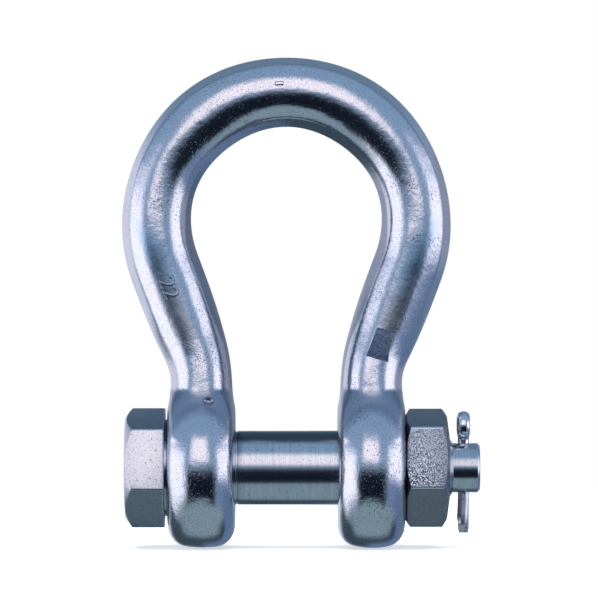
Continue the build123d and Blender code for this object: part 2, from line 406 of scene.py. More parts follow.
def join_solids(target, tool, operation):
    """Applies a boolean of the tool to the target, and takes the tool away."""
    bpy.ops.object.select_all(action="DESELECT")
    bpy.context.view_layer.objects.active = target
    target.select_set(True)
    step = target.modifiers.new("join", "BOOLEAN")
    step.operation = operation
    step.solver = "EXACT"
    step.object = tool
    bpy.ops.object.modifier_apply(modifier=step.name)
    bpy.data.objects.remove(tool)


# the boring bar's cut through both eyes, with its chamfers
face_in, face_out = EYE_X - EYE_HALF, EYE_X + EYE_HALF
mouth_r = BORE_R + 1 + BORE_CHAMFER
eye_cut = [(face_out + 1, mouth_r), (face_out - BORE_CHAMFER, BORE_R),
           (face_in + BORE_CHAMFER, BORE_R), (face_in - 1, mouth_r)]
boring_bar = turned_bar("boring_bar", [(-x, r) for x, r in eye_cut] + eye_cut[::-1], 128)
join_solids(bow, boring_bar, "DIFFERENCE")


def leg_surface(side, length, across, lift):
    """A point on the front of a leg or of the crown, by its place along and across the bar."""
    centre, outward = bar_station(length)
    half_width, depth = width_curve((crown_top - length) ** 2) / 2, bar_depth(centre.z)
    point = centre + outward * across
    front = -depth * math.sqrt(max(1 - (across / half_width) ** 2, 0.0)) - lift
    return Vector((side * point.x, front, point.z)) * MM


# a flat left by a grinding wheel low on the right leg, and a dent at the left crease; a place
# is how far along the bar, how far across it, and how far in front of it
FLAT_WIDE, FLAT_DEEP, FLAT_HIGH, FLAT_TAPER = 7.6, 4.0, 9.8, 0.76
FLAT_PLACE, FLAT_LEAN, FLAT_TILT = (40.6, 0.5, -0.6), math.radians(16), math.radians(-1)
DENT_R, DENT_PLACE, DENT_SHARES = 2.0, (22.2, -2.6, 1.0), (1.0, 0.8, 0.75)
bpy.ops.object.select_all(action="DESELECT")
bpy.ops.mesh.primitive_cube_add(size=1.0)
grinder = bpy.context.object
turn_of_flat = Matrix.Rotation(FLAT_LEAN, 4, "Y") @ Matrix.Rotation(FLAT_TILT, 4, "X")
middle_of_flat = leg_surface(1, *FLAT_PLACE)
grinder.data.transform(Matrix.Diagonal((FLAT_WIDE * MM, FLAT_DEEP * MM, FLAT_HIGH * MM, 1)))
for vertex in grinder.data.vertices:
    if vertex.co.z > 0:
        vertex.co.x *= FLAT_TAPER
grinder.data.transform(turn_of_flat @ Matrix.Translation((0, -FLAT_DEEP / 2 * MM, 0)))
grinder.data.transform(Matrix.Translation(middle_of_flat))
join_solids(bow, grinder, "DIFFERENCE")
bpy.ops.object.select_all(action="DESELECT")
bpy.ops.mesh.primitive_uv_sphere_add(segments=32, ring_count=16, radius=DENT_R * MM)
dent = bpy.context.object
dent.data.transform(Matrix.Diagonal((*DENT_SHARES, 1)))
dent.data.transform(Matrix.Translation(leg_surface(-1, *DENT_PLACE)))
join_solids(bow, dent, "DIFFERENCE")
bpy.ops.object.shade_smooth_by_angle(angle=math.radians(34))


def bar_place(point):
    """How far along the bar and across it a point is, in millimetres."""
    length = point.z
    for _ in range(5):
        centre, outward = bar_station(length)
        length += (point - centre).dot(Vector((-outward.z, 0, outward.x)))
    return length, (point - centre).dot(outward)


# the ground band runs along the inside of the bow, and is widest half way up the leg
BAND_FOOT_Z, BAND_FADES_FROM, BAND_TOP_Z = 22, 84, 104
BAND_WIDENS, BAND_NARROWS = (40, 52), (70, 82)
BAND_SHARE, BAND_MORE, BAND_IN, BAND_OUT = 0.74, 0.26, 0.07, 0.03


def ground_share(point):
    """1 where the flash was ground off along the inside of the bow, 0 on the polished rest."""
    if not BAND_FOOT_Z < point.z < BAND_TOP_Z:
        return 0.0
    length, across = bar_place(point)
    half_width = width_curve((crown_top - length) ** 2) / 2
    edge_turn = math.atan2(abs(point.y) / bar_depth(point.z), -across / half_width)
    wide = smooth_step(point.z, *BAND_WIDENS) * (1 - smooth_step(point.z, *BAND_NARROWS))
    edge = TRIM * (BAND_SHARE + BAND_MORE * wide)
    fading = 1 - smooth_step(point.z, BAND_FADES_FROM, BAND_TOP_Z)
    return (1 - smooth_step(edge_turn, edge - BAND_IN, edge + BAND_OUT)) * fading


# 1 on steel where the flash was ground off, 2 on the ground flat, which keeps its sharp rim
flat_facing = turn_of_flat.to_3x3() @ Vector((0, -1, 0))
shares = [ground_share(Vector((abs(v.co.x), v.co.y, v.co.z)) / MM) for v in bow.data.vertices]
ground_corners = bow.data.attributes.new("ground", "FLOAT", "CORNER")
for face in bow.data.polygons:
    off_flat = abs((face.center - middle_of_flat).dot(flat_facing))
    on_flat = off_flat < 0.02 * MM and face.normal.dot(flat_facing) > 0.999
    face.use_smooth = not on_flat
    for corner in face.loop_indices:
        ground_corners.data[corner].value = 2.0 if on_flat else shares[bow.data.loops[corner].vertex_index]

# Stainless steel, drop forged and then barrel polished: bright, with a satin grain, the orange
# peel and scattered pits of the forging, and a dull skin left in the crease. The leg is duller in a
# strip beside the marks, and painted darker and bluer there as a painted reflection; it is grey where ground.
polished, tree = blank_material("polished_forged_stainless")
place = add_node(tree, "ShaderNodeTexCoord").outputs["Object"]
where = add_node(tree, "ShaderNodeSeparateXYZ", {"Vector": place})
ground_off = add_node(tree, "ShaderNodeAttribute", attribute_name="ground").outputs["Fac"]

# sizes in millimetres: long waves left by the dies, peel in two sizes, grain drawn three times
# as coarse as the real one so that it shows, pits, and the patches that hold pits
WAVE, PEEL, FINE_PEEL, GRAIN, PIT, PATCH = 7.692, 2.381, 1.111, 0.3333, 0.4762, 13.33
wave = add_node(tree, "ShaderNodeTexNoise", {"Vector": place, "Scale": 1 / (WAVE * MM), "Detail": 1.0})
peel = add_node(tree, "ShaderNodeTexNoise",
                {"Vector": place, "Scale": 1 / (PEEL * MM), "Detail": 3.0, "Roughness": 0.5})
fine_peel = add_node(tree, "ShaderNodeTexNoise",
                     {"Vector": place, "Scale": 1 / (FINE_PEEL * MM), "Detail": 1.0})
grain = add_node(tree, "ShaderNodeTexNoise", {"Vector": place, "Scale": 1 / (GRAIN * MM), "Detail": 2.0})
pits = add_node(tree, "ShaderNodeTexNoise", {"Vector": place, "Scale": 1 / (PIT * MM), "Detail": 2.0})
patches = add_node(tree, "ShaderNodeTexNoise", {"Vector": place, "Scale": 1 / (PATCH * MM), "Detail": 2.0})
pit_share = add_node(tree, "ShaderNodeMath", {0: patches.outputs["Fac"], 1: 0.42, 2: pits.outputs["Fac"]},
                     operation="MULTIPLY_ADD")
pit_depth = add_node(tree, "ShaderNodeMapRange", {0: pit_share.outputs[0], 1: 0.84, 2: 0.96})

# the skin: from a ragged line across the leg down to an arch over each eye
RAGGED, SKIN_TOP, SKIN_FOOT, ARCH_FALL = 2.4, (27.4, 26.2), (18.0, 21.5), 0.086
ragged = add_node(tree, "ShaderNodeMath", {0: peel.outputs["Fac"], 1: RAGGED * MM, 2: where.outputs["Z"]},
                  operation="MULTIPLY_ADD")
skin_top = add_node(tree, "ShaderNodeMapRange",
                    {0: ragged.outputs[0], 1: SKIN_TOP[0] * MM, 2: SKIN_TOP[1] * MM})
out_from_middle = add_node(tree, "ShaderNodeMath", {0: where.outputs["X"]}, operation="ABSOLUTE")
off_eye = add_node(tree, "ShaderNodeMath", {0: out_from_middle.outputs[0], 1: EYE_X * MM},
                   operation="SUBTRACT")
off_eye_squared = add_node(tree, "ShaderNodeMath", {0: off_eye.outputs[0], 1: off_eye.outputs[0]},
                           operation="MULTIPLY")
over_arch = add_node(tree, "ShaderNodeMath",
                     {0: off_eye_squared.outputs[0], 1: ARCH_FALL / MM, 2: ragged.outputs[0]},
                     operation="MULTIPLY_ADD")
skin_foot = add_node(tree, "ShaderNodeMapRange",
                     {0: over_arch.outputs[0], 1: SKIN_FOOT[0] * MM, 2: SKIN_FOOT[1] * MM})
skin = add_node(tree, "ShaderNodeMath", {0: skin_top.outputs[0], 1: skin_foot.outputs[0]},
                operation="MULTIPLY")

# the strip beside the marks, painted darker and bluer as a painted reflection: it follows the lean
# of the leg, lies outside its middle, and is bluest in its upper half
STRIP_RAGGED, STRIP_MIDDLE, STRIP_EDGE = 1.6, 1.6, (4.6, 2.6)
STRIP_FOOT, STRIP_TOP, STRIP_BLUES = (36, 46), (82, 72), (50, 64)
knee_offset = EYE_X - knee_z * math.tan(LEG_LEAN)
straightened = add_node(tree, "ShaderNodeMath",
                        {0: where.outputs["Z"], 1: -math.tan(LEG_LEAN), 2: out_from_middle.outputs[0]},
                        operation="MULTIPLY_ADD")
across_leg = add_node(tree, "ShaderNodeMath", {0: straightened.outputs[0], 1: knee_offset * MM},
                      operation="SUBTRACT")
ragged_across = add_node(tree, "ShaderNodeMath",
                         {0: peel.outputs["Fac"], 1: STRIP_RAGGED * MM, 2: across_leg.outputs[0]},
                         operation="MULTIPLY_ADD")
from_strip = add_node(tree, "ShaderNodeMath", {0: ragged_across.outputs[0], 1: STRIP_MIDDLE * MM},
                      operation="SUBTRACT")
off_strip = add_node(tree, "ShaderNodeMath", {0: from_strip.outputs[0]}, operation="ABSOLUTE")
in_strip = add_node(tree, "ShaderNodeMapRange",
                    {0: off_strip.outputs[0], 1: STRIP_EDGE[0] * MM, 2: STRIP_EDGE[1] * MM})
over_foot = add_node(tree, "ShaderNodeMapRange",
                     {0: where.outputs["Z"], 1: STRIP_FOOT[0] * MM, 2: STRIP_FOOT[1] * MM})
under_top = add_node(tree, "ShaderNodeMapRange",
                     {0: where.outputs["Z"], 1: STRIP_TOP[0] * MM, 2: STRIP_TOP[1] * MM})
strip_foot = add_node(tree, "ShaderNodeMath", {0: in_strip.outputs[0], 1: over_foot.outputs[0]},
                      operation="MULTIPLY")
strip = add_node(tree, "ShaderNodeMath", {0: strip_foot.outputs[0], 1: under_top.outputs[0]},
                 operation="MULTIPLY")
blue_from = add_node(tree, "ShaderNodeMapRange",
                     {0: where.outputs["Z"], 1: STRIP_BLUES[0] * MM, 2: STRIP_BLUES[1] * MM})
strip_reflection_share = add_node(tree, "ShaderNodeMath", {0: strip.outputs[0], 1: blue_from.outputs[0]}, operation="MULTIPLY")

bright_tone = add_node(tree, "ShaderNodeMix",
                       {0: grain.outputs["Fac"], 6: linear("#9a9fae"), 7: linear("#fbfcff")},
                       data_type="RGBA")
# painted reflection: the strip turns the bright steel darker and bluer
strip_painted_reflection = add_node(tree, "ShaderNodeMix",
                      {0: strip_reflection_share.outputs[0], 6: bright_tone.outputs[2], 7: linear("#aac6da")},
                      data_type="RGBA")
ground_tone = add_node(tree, "ShaderNodeMix", {0: ground_off, 6: strip_painted_reflection.outputs[2], 7: linear("#8b93a3")},
                       data_type="RGBA")
on_flat = add_node(tree, "ShaderNodeMapRange", {0: ground_off, 1: 1.0, 2: 2.0})
flat_grain = add_node(tree, "ShaderNodeMix",
                      {0: pits.outputs["Fac"], 6: linear("#3f5069"), 7: linear("#a9bbd2")}, data_type="RGBA")
flat_tone = add_node(tree, "ShaderNodeMix",
                     {0: on_flat.outputs[0], 6: ground_tone.outputs[2], 7: flat_grain.outputs[2]},
                     data_type="RGBA")
skin_tone = add_node(tree, "ShaderNodeMix",
                     {0: skin.outputs[0], 6: flat_tone.outputs[2], 7: linear("#a2a9b6")}, data_type="RGBA")
pitted_tone = add_node(tree, "ShaderNodeMix",
                       {0: pit_depth.outputs[0], 6: skin_tone.outputs[2], 7: linear("#6d7584")},
                       data_type="RGBA")
dull = add_node(tree, "ShaderNodeMath", {0: strip.outputs[0], 1: ground_off}, operation="MAXIMUM")
duller = add_node(tree, "ShaderNodeMath", {0: dull.outputs[0], 1: skin.outputs[0]}, operation="MAXIMUM")
gloss = add_node(tree, "ShaderNodeMapRange", {0: duller.outputs[0], 3: 0.16, 4: 0.28})
surface = None
for relief, height, sunk in ((wave.outputs["Fac"], 0.16, False), (peel.outputs["Fac"], 0.05, False),
                             (fine_peel.outputs["Fac"], 0.03, False), (grain.outputs["Fac"], 0.016, False),
                             (pit_depth.outputs[0], 0.03, True)):
    bump = add_node(tree, "ShaderNodeBump", {"Height": relief, "Strength": 1.0, "Distance": height * MM},
                    invert=sunk)
    if surface:
        tree.links.new(surface, bump.inputs["Normal"])
    surface = bump.outputs[0]
shader = add_node(tree, "ShaderNodeBsdfPrincipled", {"Base Color": pitted_tone.outputs[2], "Metallic": 1.0,
                                                     "Roughness": gloss.outputs[0], "Normal": surface})
add_node(tree, "ShaderNodeOutputMaterial", {"Surface": shader.outputs[0]})
bow.data.materials.append(polished)
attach(bow, "bow")
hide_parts("bow")


# ---- Raised marks ----------------------------------------------------------------------
# The forging die leaves the nominal size standing up on the left leg, as two plain
# numerals, and a short dash on the crown. Both are part of the bow's own steel.

NUMERAL_HEIGHT, NUMERAL_ALONG, NUMERAL_ACROSS = 5.2, 60.0, 0.6
DASH_SIZE, DASH_BELOW_TOP, DASH_ACROSS = 7.0, 2.1, 2.5
MARK_LIFT, MARK_DEPTH, MARK_SPREAD, MARK_VOXEL = 0.74, 0.7, 0.1, 0.12
CAPITAL_SHARE, FLANK_FACING = 0.7, 0.9
FLANK_GRAIN = 0.5

# The flanks of the marks: dull and slightly rough, and painted dark as painted shade along the
# sides of the numerals and the dash.
flank_painted_shade, tree = blank_material("dull_flank_painted_shade")
place = add_node(tree, "ShaderNodeTexCoord").outputs["Object"]
flank_grain = add_node(tree, "ShaderNodeTexNoise",
                      {"Vector": place, "Scale": 1 / (FLANK_GRAIN * MM), "Detail": 2.0})
tone = add_node(tree, "ShaderNodeMix",
                {0: flank_grain.outputs["Fac"], 6: linear("#0c121c"), 7: linear("#3a4656")}, data_type="RGBA")
bump = add_node(tree, "ShaderNodeBump",
                {"Height": flank_grain.outputs["Fac"], "Strength": 1.0, "Distance": 0.03 * MM})
shader = add_node(tree, "ShaderNodeBsdfPrincipled", {"Base Color": tone.outputs[2], "Metallic": 1.0,
                                                     "Roughness": 0.42, "Normal": bump.outputs[0]})
add_node(tree, "ShaderNodeOutputMaterial", {"Surface": shader.outputs[0]})

# each mark: its words and size, where it stands along and across the bar, and which way it reads
for name, words, size, start, across, along in (
        ("size_mark", "22", NUMERAL_HEIGHT, NUMERAL_ALONG, NUMERAL_ACROSS, -1),
        ("crown_dash", "-", DASH_SIZE, crown_top - DASH_BELOW_TOP, DASH_ACROSS, 1)):
    bpy.ops.object.select_all(action="DESELECT")
    bpy.ops.object.text_add()
    mark = bpy.context.object
    mark.name = name
    mark.data.body = words
    mark.data.size = size / CAPITAL_SHARE
    mark.data.align_x = "CENTER"
    mark.data.extrude = MARK_DEPTH
    mark.data.offset = MARK_SPREAD
    bpy.ops.object.convert(target="MESH")
    middle = (max(v.co.y for v in mark.data.vertices) + min(v.co.y for v in mark.data.vertices)) / 2
    remesh = mark.modifiers.new("even", "REMESH")
    remesh.mode = "VOXEL"
    remesh.voxel_size = MARK_VOXEL
    bpy.ops.object.modifier_apply(modifier=remesh.name)
    softened = mark.modifiers.new("soften", "SMOOTH")
    softened.factor = 0.5
    softened.iterations = 2
    bpy.ops.object.modifier_apply(modifier=softened.name)
    for v in mark.data.vertices:
        v.co = leg_surface(-1, start + along * v.co.x, across + along * (v.co.y - middle),
                           MARK_LIFT - MARK_DEPTH + v.co.z)
    face_outwards()
    bpy.ops.object.shade_smooth()
    mark.data.materials.clear()
    mark.data.materials.append(polished)
    mark.data.materials.append(flank_painted_shade)
    for face in mark.data.polygons:
        # the flanks get the painted shade
        face.material_index = 1 if abs(face.normal.y) < FLANK_FACING else 0
    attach(mark, "bow")


# ---- Bolt ------------------------------------------------------------------------------
# One piece of stainless steel: a hexagon head with its washer face, a ground shank that
# fills both eyes, the thread, and a plain dog end drilled across for the split pin.

HEX_AF, HEX_CORNER = 34.1, 0.5
HEAD_LEAN = math.radians(11)
HEAD_END_X, HEAD_INNER_X, HEAD_FACE_X = -52.10, -39.25, -38.55
HEAD_END_R, HEAD_CHAMFER = 16.3, math.radians(35)
WASHER_R, SHANK_R, THREAD_R, DOG_R = 15.7, 12.0, 10.0, 8.0
SHOULDER_X, THREAD_END_X, BOLT_END_X = 38.5, 53.6, 62.6
PIN_X, PIN_HOLE_R = 57.4, 2.1
GROOVE_X, GROOVE_HALF, GROOVE_FLOOR, GROOVE_DEPTH = -15.95, 0.35, 0.2, 0.25
# the sizes of the patterns, then where the painted shade along the top of the shank begins and ends
HEAD_GRAIN, HEAD_PIT, SHANK_RING, RING_RUN, SHANK_STAIN = 0.3846, 0.5882, 0.2778, 16.67, 0.6667
TOP_SHADE_RISE, TOP_SHADE_END = (7.6, 9.6), (30, 24)


def hexagon_bar(name, x0, x1, lean):
    """A length of hexagon bar about the bolt's axis, its corners a little rounded."""
    bpy.ops.object.select_all(action="DESELECT")
    bpy.ops.mesh.primitive_cylinder_add(vertices=6, radius=HEX_AF / math.sqrt(3) * MM, depth=(x1 - x0) * MM,
                                        location=((x0 + x1) / 2 * MM, 0, 0), rotation=(0, math.pi / 2, 0))
    bar = bpy.context.object
    bar.name = name
    bpy.ops.object.transform_apply(location=True, rotation=True, scale=True)
    bar.data.transform(Matrix.Rotation(math.radians(30) - lean, 4, "X"))
    bpy.ops.object.mode_set(mode="EDIT")
    bpy.ops.mesh.select_mode(type="EDGE")
    bpy.ops.object.mode_set(mode="OBJECT")
    for edge in bar.data.edges:
        start, end = (bar.data.vertices[v].co for v in edge.vertices)
        edge.select = abs(start.x - end.x) > 1 * MM
    bpy.ops.object.mode_set(mode="EDIT")
    bpy.ops.mesh.bevel(offset=HEX_CORNER * MM, segments=3, affect="EDGES")
    bpy.ops.object.mode_set(mode="OBJECT")
    return bar


def break_edges(piece, width, angle):
    """Breaks the sharp edges, as deburring does, and shades the rest smooth."""
    bpy.ops.object.select_all(action="DESELECT")
    bpy.context.view_layer.objects.active = piece
    piece.select_set(True)
    bevel = piece.modifiers.new("deburr", "BEVEL")
    bevel.width = width * MM
    bevel.segments = 2
    bevel.limit_method = "ANGLE"
    bevel.angle_limit = math.radians(angle)
    bpy.ops.object.modifier_apply(modifier=bevel.name)
    bpy.ops.object.shade_smooth_by_angle(angle=math.radians(30))


hex_r = HEX_AF / math.sqrt(3)
bolt = hexagon_bar("bolt_turned", HEAD_END_X, HEAD_INNER_X, HEAD_LEAN)
chamfer_x = (hex_r + 1 - HEAD_END_R) * math.tan(HEAD_CHAMFER)
cone = turned_bar("cone", [(HEAD_END_X, HEAD_END_R), (HEAD_END_X + chamfer_x, hex_r + 1),
                           (HEAD_INNER_X + 1, hex_r + 1)], 96)
join_solids(bolt, cone, "INTERSECT")
groove = [(GROOVE_X - GROOVE_HALF, SHANK_R), (GROOVE_X - GROOVE_FLOOR, SHANK_R - GROOVE_DEPTH),
          (GROOVE_X + GROOVE_FLOOR, SHANK_R - GROOVE_DEPTH), (GROOVE_X + GROOVE_HALF, SHANK_R)]
shank = turned_bar("shank", [(HEAD_INNER_X - 4, WASHER_R - 2), (HEAD_INNER_X - 0.4, WASHER_R),
                             (HEAD_FACE_X, WASHER_R), (HEAD_FACE_X, SHANK_R + 0.4),
                             (HEAD_FACE_X + 0.4, SHANK_R), *groove,
                             (SHOULDER_X - 0.5, SHANK_R), (SHOULDER_X, SHANK_R - 0.5),
                             (SHOULDER_X, THREAD_R), (THREAD_END_X - 1.0, THREAD_R),
                             (THREAD_END_X, DOG_R + 0.4), (THREAD_END_X + 0.3, DOG_R),
                             (BOLT_END_X - 0.8, DOG_R), (BOLT_END_X, DOG_R - 0.8)], 96)
join_solids(bolt, shank, "UNION")
drill = turned_bar("drill", [(-9, 3.2), (-7.6, PIN_HOLE_R), (7.6, PIN_HOLE_R), (9, 3.2)], 48)
drill.data.transform(Matrix.Translation((PIN_X * MM, 0, 0)) @ Matrix.Rotation(math.pi / 2, 4, "Y"))
join_solids(bolt, drill, "DIFFERENCE")
break_edges(bolt, 0.22, 28)

# Stainless bar for the head: two opposite flats and the end are milled bright, with small dark
# pits, and the other flats take a darker copy of the same finish, as painted shade.
for finish, low_tone, high_tone in (("milled_stainless", "#a8aab6", "#ffffff"),
                                    ("head_flats_painted_shade", "#6e767f", "#a9b2bc")):
    metal, tree = blank_material(finish)
    place = add_node(tree, "ShaderNodeTexCoord").outputs["Object"]
    pits = add_node(tree, "ShaderNodeTexNoise",
                    {"Vector": place, "Scale": 1 / (HEAD_PIT * MM), "Detail": 3.0, "Roughness": 0.6})
    pit_depth = add_node(tree, "ShaderNodeMapRange", {0: pits.outputs["Fac"], 1: 0.60, 2: 0.70})
    cloud = add_node(tree, "ShaderNodeTexNoise",
                     {"Vector": place, "Scale": 1 / (HEAD_GRAIN * MM), "Detail": 2.0})
    tone = add_node(tree, "ShaderNodeMix",
                    {0: cloud.outputs["Fac"], 6: linear(low_tone), 7: linear(high_tone)}, data_type="RGBA")
    pitted = add_node(tree, "ShaderNodeMix",
                      {0: pit_depth.outputs[0], 6: tone.outputs[2], 7: linear("#565c68")}, data_type="RGBA")
    bump = add_node(tree, "ShaderNodeBump",
                    {"Height": pits.outputs["Fac"], "Strength": 1.0, "Distance": 0.02 * MM})
    shader = add_node(tree, "ShaderNodeBsdfPrincipled", {"Base Color": pitted.outputs[2], "Metallic": 1.0,
                                                         "Roughness": 0.3, "Normal": bump.outputs[0]})
    add_node(tree, "ShaderNodeOutputMaterial", {"Surface": shader.outputs[0]})
    bolt.data.materials.append(metal)

# The shank and dog end are ground, and keep fine rings round them from the turning, drawn at
# 0.28 mm so that they show. The top of the shank is painted darker, as painted shade.
ground_steel, tree = blank_material("ground_stainless")
place = add_node(tree, "ShaderNodeTexCoord").outputs["Object"]
where = add_node(tree, "ShaderNodeSeparateXYZ", {"Vector": place})
along = add_node(tree, "ShaderNodeMapping",
                 {"Vector": place, "Scale": [1 / (size * MM) for size in (SHANK_RING, RING_RUN, RING_RUN)]})
turning = add_node(tree, "ShaderNodeTexNoise", {"Vector": along.outputs[0], "Scale": 1.0, "Detail": 2.0})
stains = add_node(tree, "ShaderNodeTexNoise",
                  {"Vector": place, "Scale": 1 / (SHANK_STAIN * MM), "Detail": 4.0, "Roughness": 0.7})
stain = add_node(tree, "ShaderNodeMapRange", {0: stains.outputs["Fac"], 1: 0.58, 2: 0.72})
# painted shade: the top of the shank, towards the head and under the bow, is painted darker
top_shade_rise = add_node(tree, "ShaderNodeMapRange",
                    {0: where.outputs["Z"], 1: TOP_SHADE_RISE[0] * MM, 2: TOP_SHADE_RISE[1] * MM})
top_shade_end = add_node(tree, "ShaderNodeMapRange",
                    {0: where.outputs["X"], 1: TOP_SHADE_END[0] * MM, 2: TOP_SHADE_END[1] * MM})
top_painted_shade = add_node(tree, "ShaderNodeMath", {0: top_shade_rise.outputs[0], 1: top_shade_end.outputs[0]},
                operation="MULTIPLY")
stain_and_shade_share = add_node(tree, "ShaderNodeMath", {0: top_painted_shade.outputs[0], 1: stain.outputs[0]}, operation="MAXIMUM")
tone = add_node(tree, "ShaderNodeMix",
                {0: turning.outputs["Fac"], 6: linear("#b3b9c0"), 7: linear("#dfe3e8")}, data_type="RGBA")
stained_and_shaded = add_node(tree, "ShaderNodeMix",
                   {0: stain_and_shade_share.outputs[0], 6: tone.outputs[2], 7: linear("#626a73")}, data_type="RGBA")
bump = add_node(tree, "ShaderNodeBump",
                {"Height": turning.outputs["Fac"], "Strength": 1.0, "Distance": 0.004 * MM})
shader = add_node(tree, "ShaderNodeBsdfPrincipled", {"Base Color": stained_and_shaded.outputs[2], "Metallic": 1.0,
                                                     "Roughness": 0.2, "Normal": bump.outputs[0]})
add_node(tree, "ShaderNodeOutputMaterial", {"Surface": shader.outputs[0]})
bolt.data.materials.append(ground_steel)

# the milled flats and end, the four other flats with the painted shade, and the ground shank
MILLED, SHADED, GROUND = 0, 1, 2
milled_facing = Vector((0, -math.cos(HEAD_LEAN), math.sin(HEAD_LEAN)))
for face in bolt.data.polygons:
    on_other_flat = abs(face.normal.dot(milled_facing)) < 0.7 and abs(face.normal.x) < 0.3
    if face.center.x > (HEAD_INNER_X + 0.05) * MM:
        face.material_index = GROUND
    else:
        face.material_index = SHADED if on_other_flat else MILLED
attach(bolt, "bolt")
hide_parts("bolt")


# ---- Nut -------------------------------------------------------------------------------
# A plain hexagon nut, tumbled dull grey, with its corners chamfered at both ends. It is
# screwed up against the bolt's shoulder and leaves the eyes free.

NUT_INNER_X, NUT_OUTER_X = 38.6, 52.9
NUT_LEAN = math.radians(13.5)
NUT_INNER_R, NUT_OUTER_R, NUT_CHAMFER = 17.0, 16.7, math.radians(30)
NUT_DISH, NUT_BORE_R = 0.9, 10.06
NUT_GRAIN, RUB_SLANT, RUB_SPAN = 0.4348, 0.8, (54, 36)

nut = hexagon_bar("nut_hexagon", NUT_INNER_X, NUT_OUTER_X, NUT_LEAN)
inner_x = (hex_r + 1 - NUT_INNER_R) * math.tan(NUT_CHAMFER)
outer_x = (hex_r + 1 - NUT_OUTER_R) * math.tan(NUT_CHAMFER)
dished_x = NUT_OUTER_X - NUT_DISH
cone = turned_bar("cone", [(NUT_INNER_X, NUT_INNER_R), (NUT_INNER_X + inner_x, hex_r + 1),
                           (dished_x - outer_x, hex_r + 1), (dished_x, NUT_OUTER_R),
                           (NUT_OUTER_X, NUT_BORE_R)], 96)
join_solids(nut, cone, "INTERSECT")
bore = turned_bar("bore", [(NUT_INNER_X - 1, NUT_BORE_R + 1.8), (NUT_INNER_X + 0.8, NUT_BORE_R),
                           (NUT_OUTER_X - 0.8, NUT_BORE_R), (NUT_OUTER_X + 1, NUT_BORE_R + 1.8)], 96)
join_solids(nut, bore, "DIFFERENCE")
break_edges(nut, 0.25, 28)

# the corners between the flats are worn, and painted bright there as a painted highlight; grains
# on the front and back flats are rubbed bright
flats_facing = [Vector((0, -math.cos(NUT_LEAN + turn), math.sin(NUT_LEAN + turn)))
                for turn in np.radians(range(0, 360, 60))]
for name in ("worn_edge_and_highlight", "rubbed_flat"):
    nut.data.attributes.new(name, "FLOAT", "CORNER")
worn_and_highlit_corners = nut.data.attributes["worn_edge_and_highlight"].data
rubbed_corners = nut.data.attributes["rubbed_flat"].data
for face in nut.data.polygons:
    on_corner = abs(face.normal.x) < 0.3 and max(face.normal.dot(facing) for facing in flats_facing) < 0.995
    on_front_or_back = abs(face.normal.dot(flats_facing[0])) > 0.75
    for corner in face.loop_indices:
        worn_and_highlit_corners[corner].value = 1.0 if on_corner else 0.0
        rubbed_corners[corner].value = 1.0 if on_front_or_back else 0.0

# Tumbled stainless: dull and mottled. On the front and back flats rubbed bright grains stand out
# of the dark, fewest at the upper outer corner and sharpest at the lower inner one. The other four
# flats are painted a plainer, darker grey as painted shade.
tumbled, tree = blank_material("tumbled_stainless")
place = add_node(tree, "ShaderNodeTexCoord").outputs["Object"]
where = add_node(tree, "ShaderNodeSeparateXYZ", {"Vector": place})
# the worn corners, which also carry the painted highlight
edges = add_node(tree, "ShaderNodeAttribute", attribute_name="worn_edge_and_highlight").outputs["Fac"]
rubbed_flat = add_node(tree, "ShaderNodeAttribute", attribute_name="rubbed_flat").outputs["Fac"]
grains = add_node(tree, "ShaderNodeTexNoise",
                  {"Vector": place, "Scale": 1 / (NUT_GRAIN * MM), "Detail": 3.0, "Roughness": 0.6})
from_corner = add_node(tree, "ShaderNodeMath", {0: where.outputs["Z"], 1: RUB_SLANT, 2: where.outputs["X"]},
                       operation="MULTIPLY_ADD")
worn = add_node(tree, "ShaderNodeMapRange",
                {0: from_corner.outputs[0], 1: RUB_SPAN[0] * MM, 2: RUB_SPAN[1] * MM})
contrast = add_node(tree, "ShaderNodeMapRange", {0: worn.outputs[0], 3: 0.26, 4: 0.035})
middle = add_node(tree, "ShaderNodeMapRange", {0: worn.outputs[0], 3: 0.57, 4: 0.53})
rubbed_to = add_node(tree, "ShaderNodeMath", {0: middle.outputs[0], 1: contrast.outputs[0]}, operation="ADD")
rubbed_from = add_node(tree, "ShaderNodeMath", {0: middle.outputs[0], 1: contrast.outputs[0]},
                       operation="SUBTRACT")
rubbed = add_node(tree, "ShaderNodeMapRange",
                  {0: grains.outputs["Fac"], 1: rubbed_from.outputs[0], 2: rubbed_to.outputs[0]})
rubbed_tone = add_node(tree, "ShaderNodeMix",
                       {0: rubbed.outputs[0], 6: linear("#38424f"), 7: linear("#e6f2ff")}, data_type="RGBA")
# painted shade: the four other flats get a plainer, darker grey
side_flats_painted_shade = add_node(tree, "ShaderNodeMix",
                     {0: grains.outputs["Fac"], 6: linear("#55565c"), 7: linear("#b6b7be")}, data_type="RGBA")
flat_tone = add_node(tree, "ShaderNodeMix",
                     {0: rubbed_flat, 6: side_flats_painted_shade.outputs[2], 7: rubbed_tone.outputs[2]}, data_type="RGBA")
# painted highlight: the worn corners are painted near-white
edge_painted_highlight = add_node(tree, "ShaderNodeMix", {0: edges, 6: flat_tone.outputs[2], 7: linear("#f4f8ff")},
                     data_type="RGBA")
gloss = add_node(tree, "ShaderNodeMapRange", {0: edges, 3: 0.34, 4: 0.2})
bump = add_node(tree, "ShaderNodeBump",
                {"Height": grains.outputs["Fac"], "Strength": 1.0, "Distance": 0.05 * MM})
shader = add_node(tree, "ShaderNodeBsdfPrincipled", {"Base Color": edge_painted_highlight.outputs[2], "Metallic": 1.0,
                                                     "Roughness": gloss.outputs[0],
                                                     "Normal": bump.outputs[0]})
add_node(tree, "ShaderNodeOutputMaterial", {"Surface": shader.outputs[0]})
nut.data.materials.append(tumbled)
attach(nut, "nut")
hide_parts("nut")


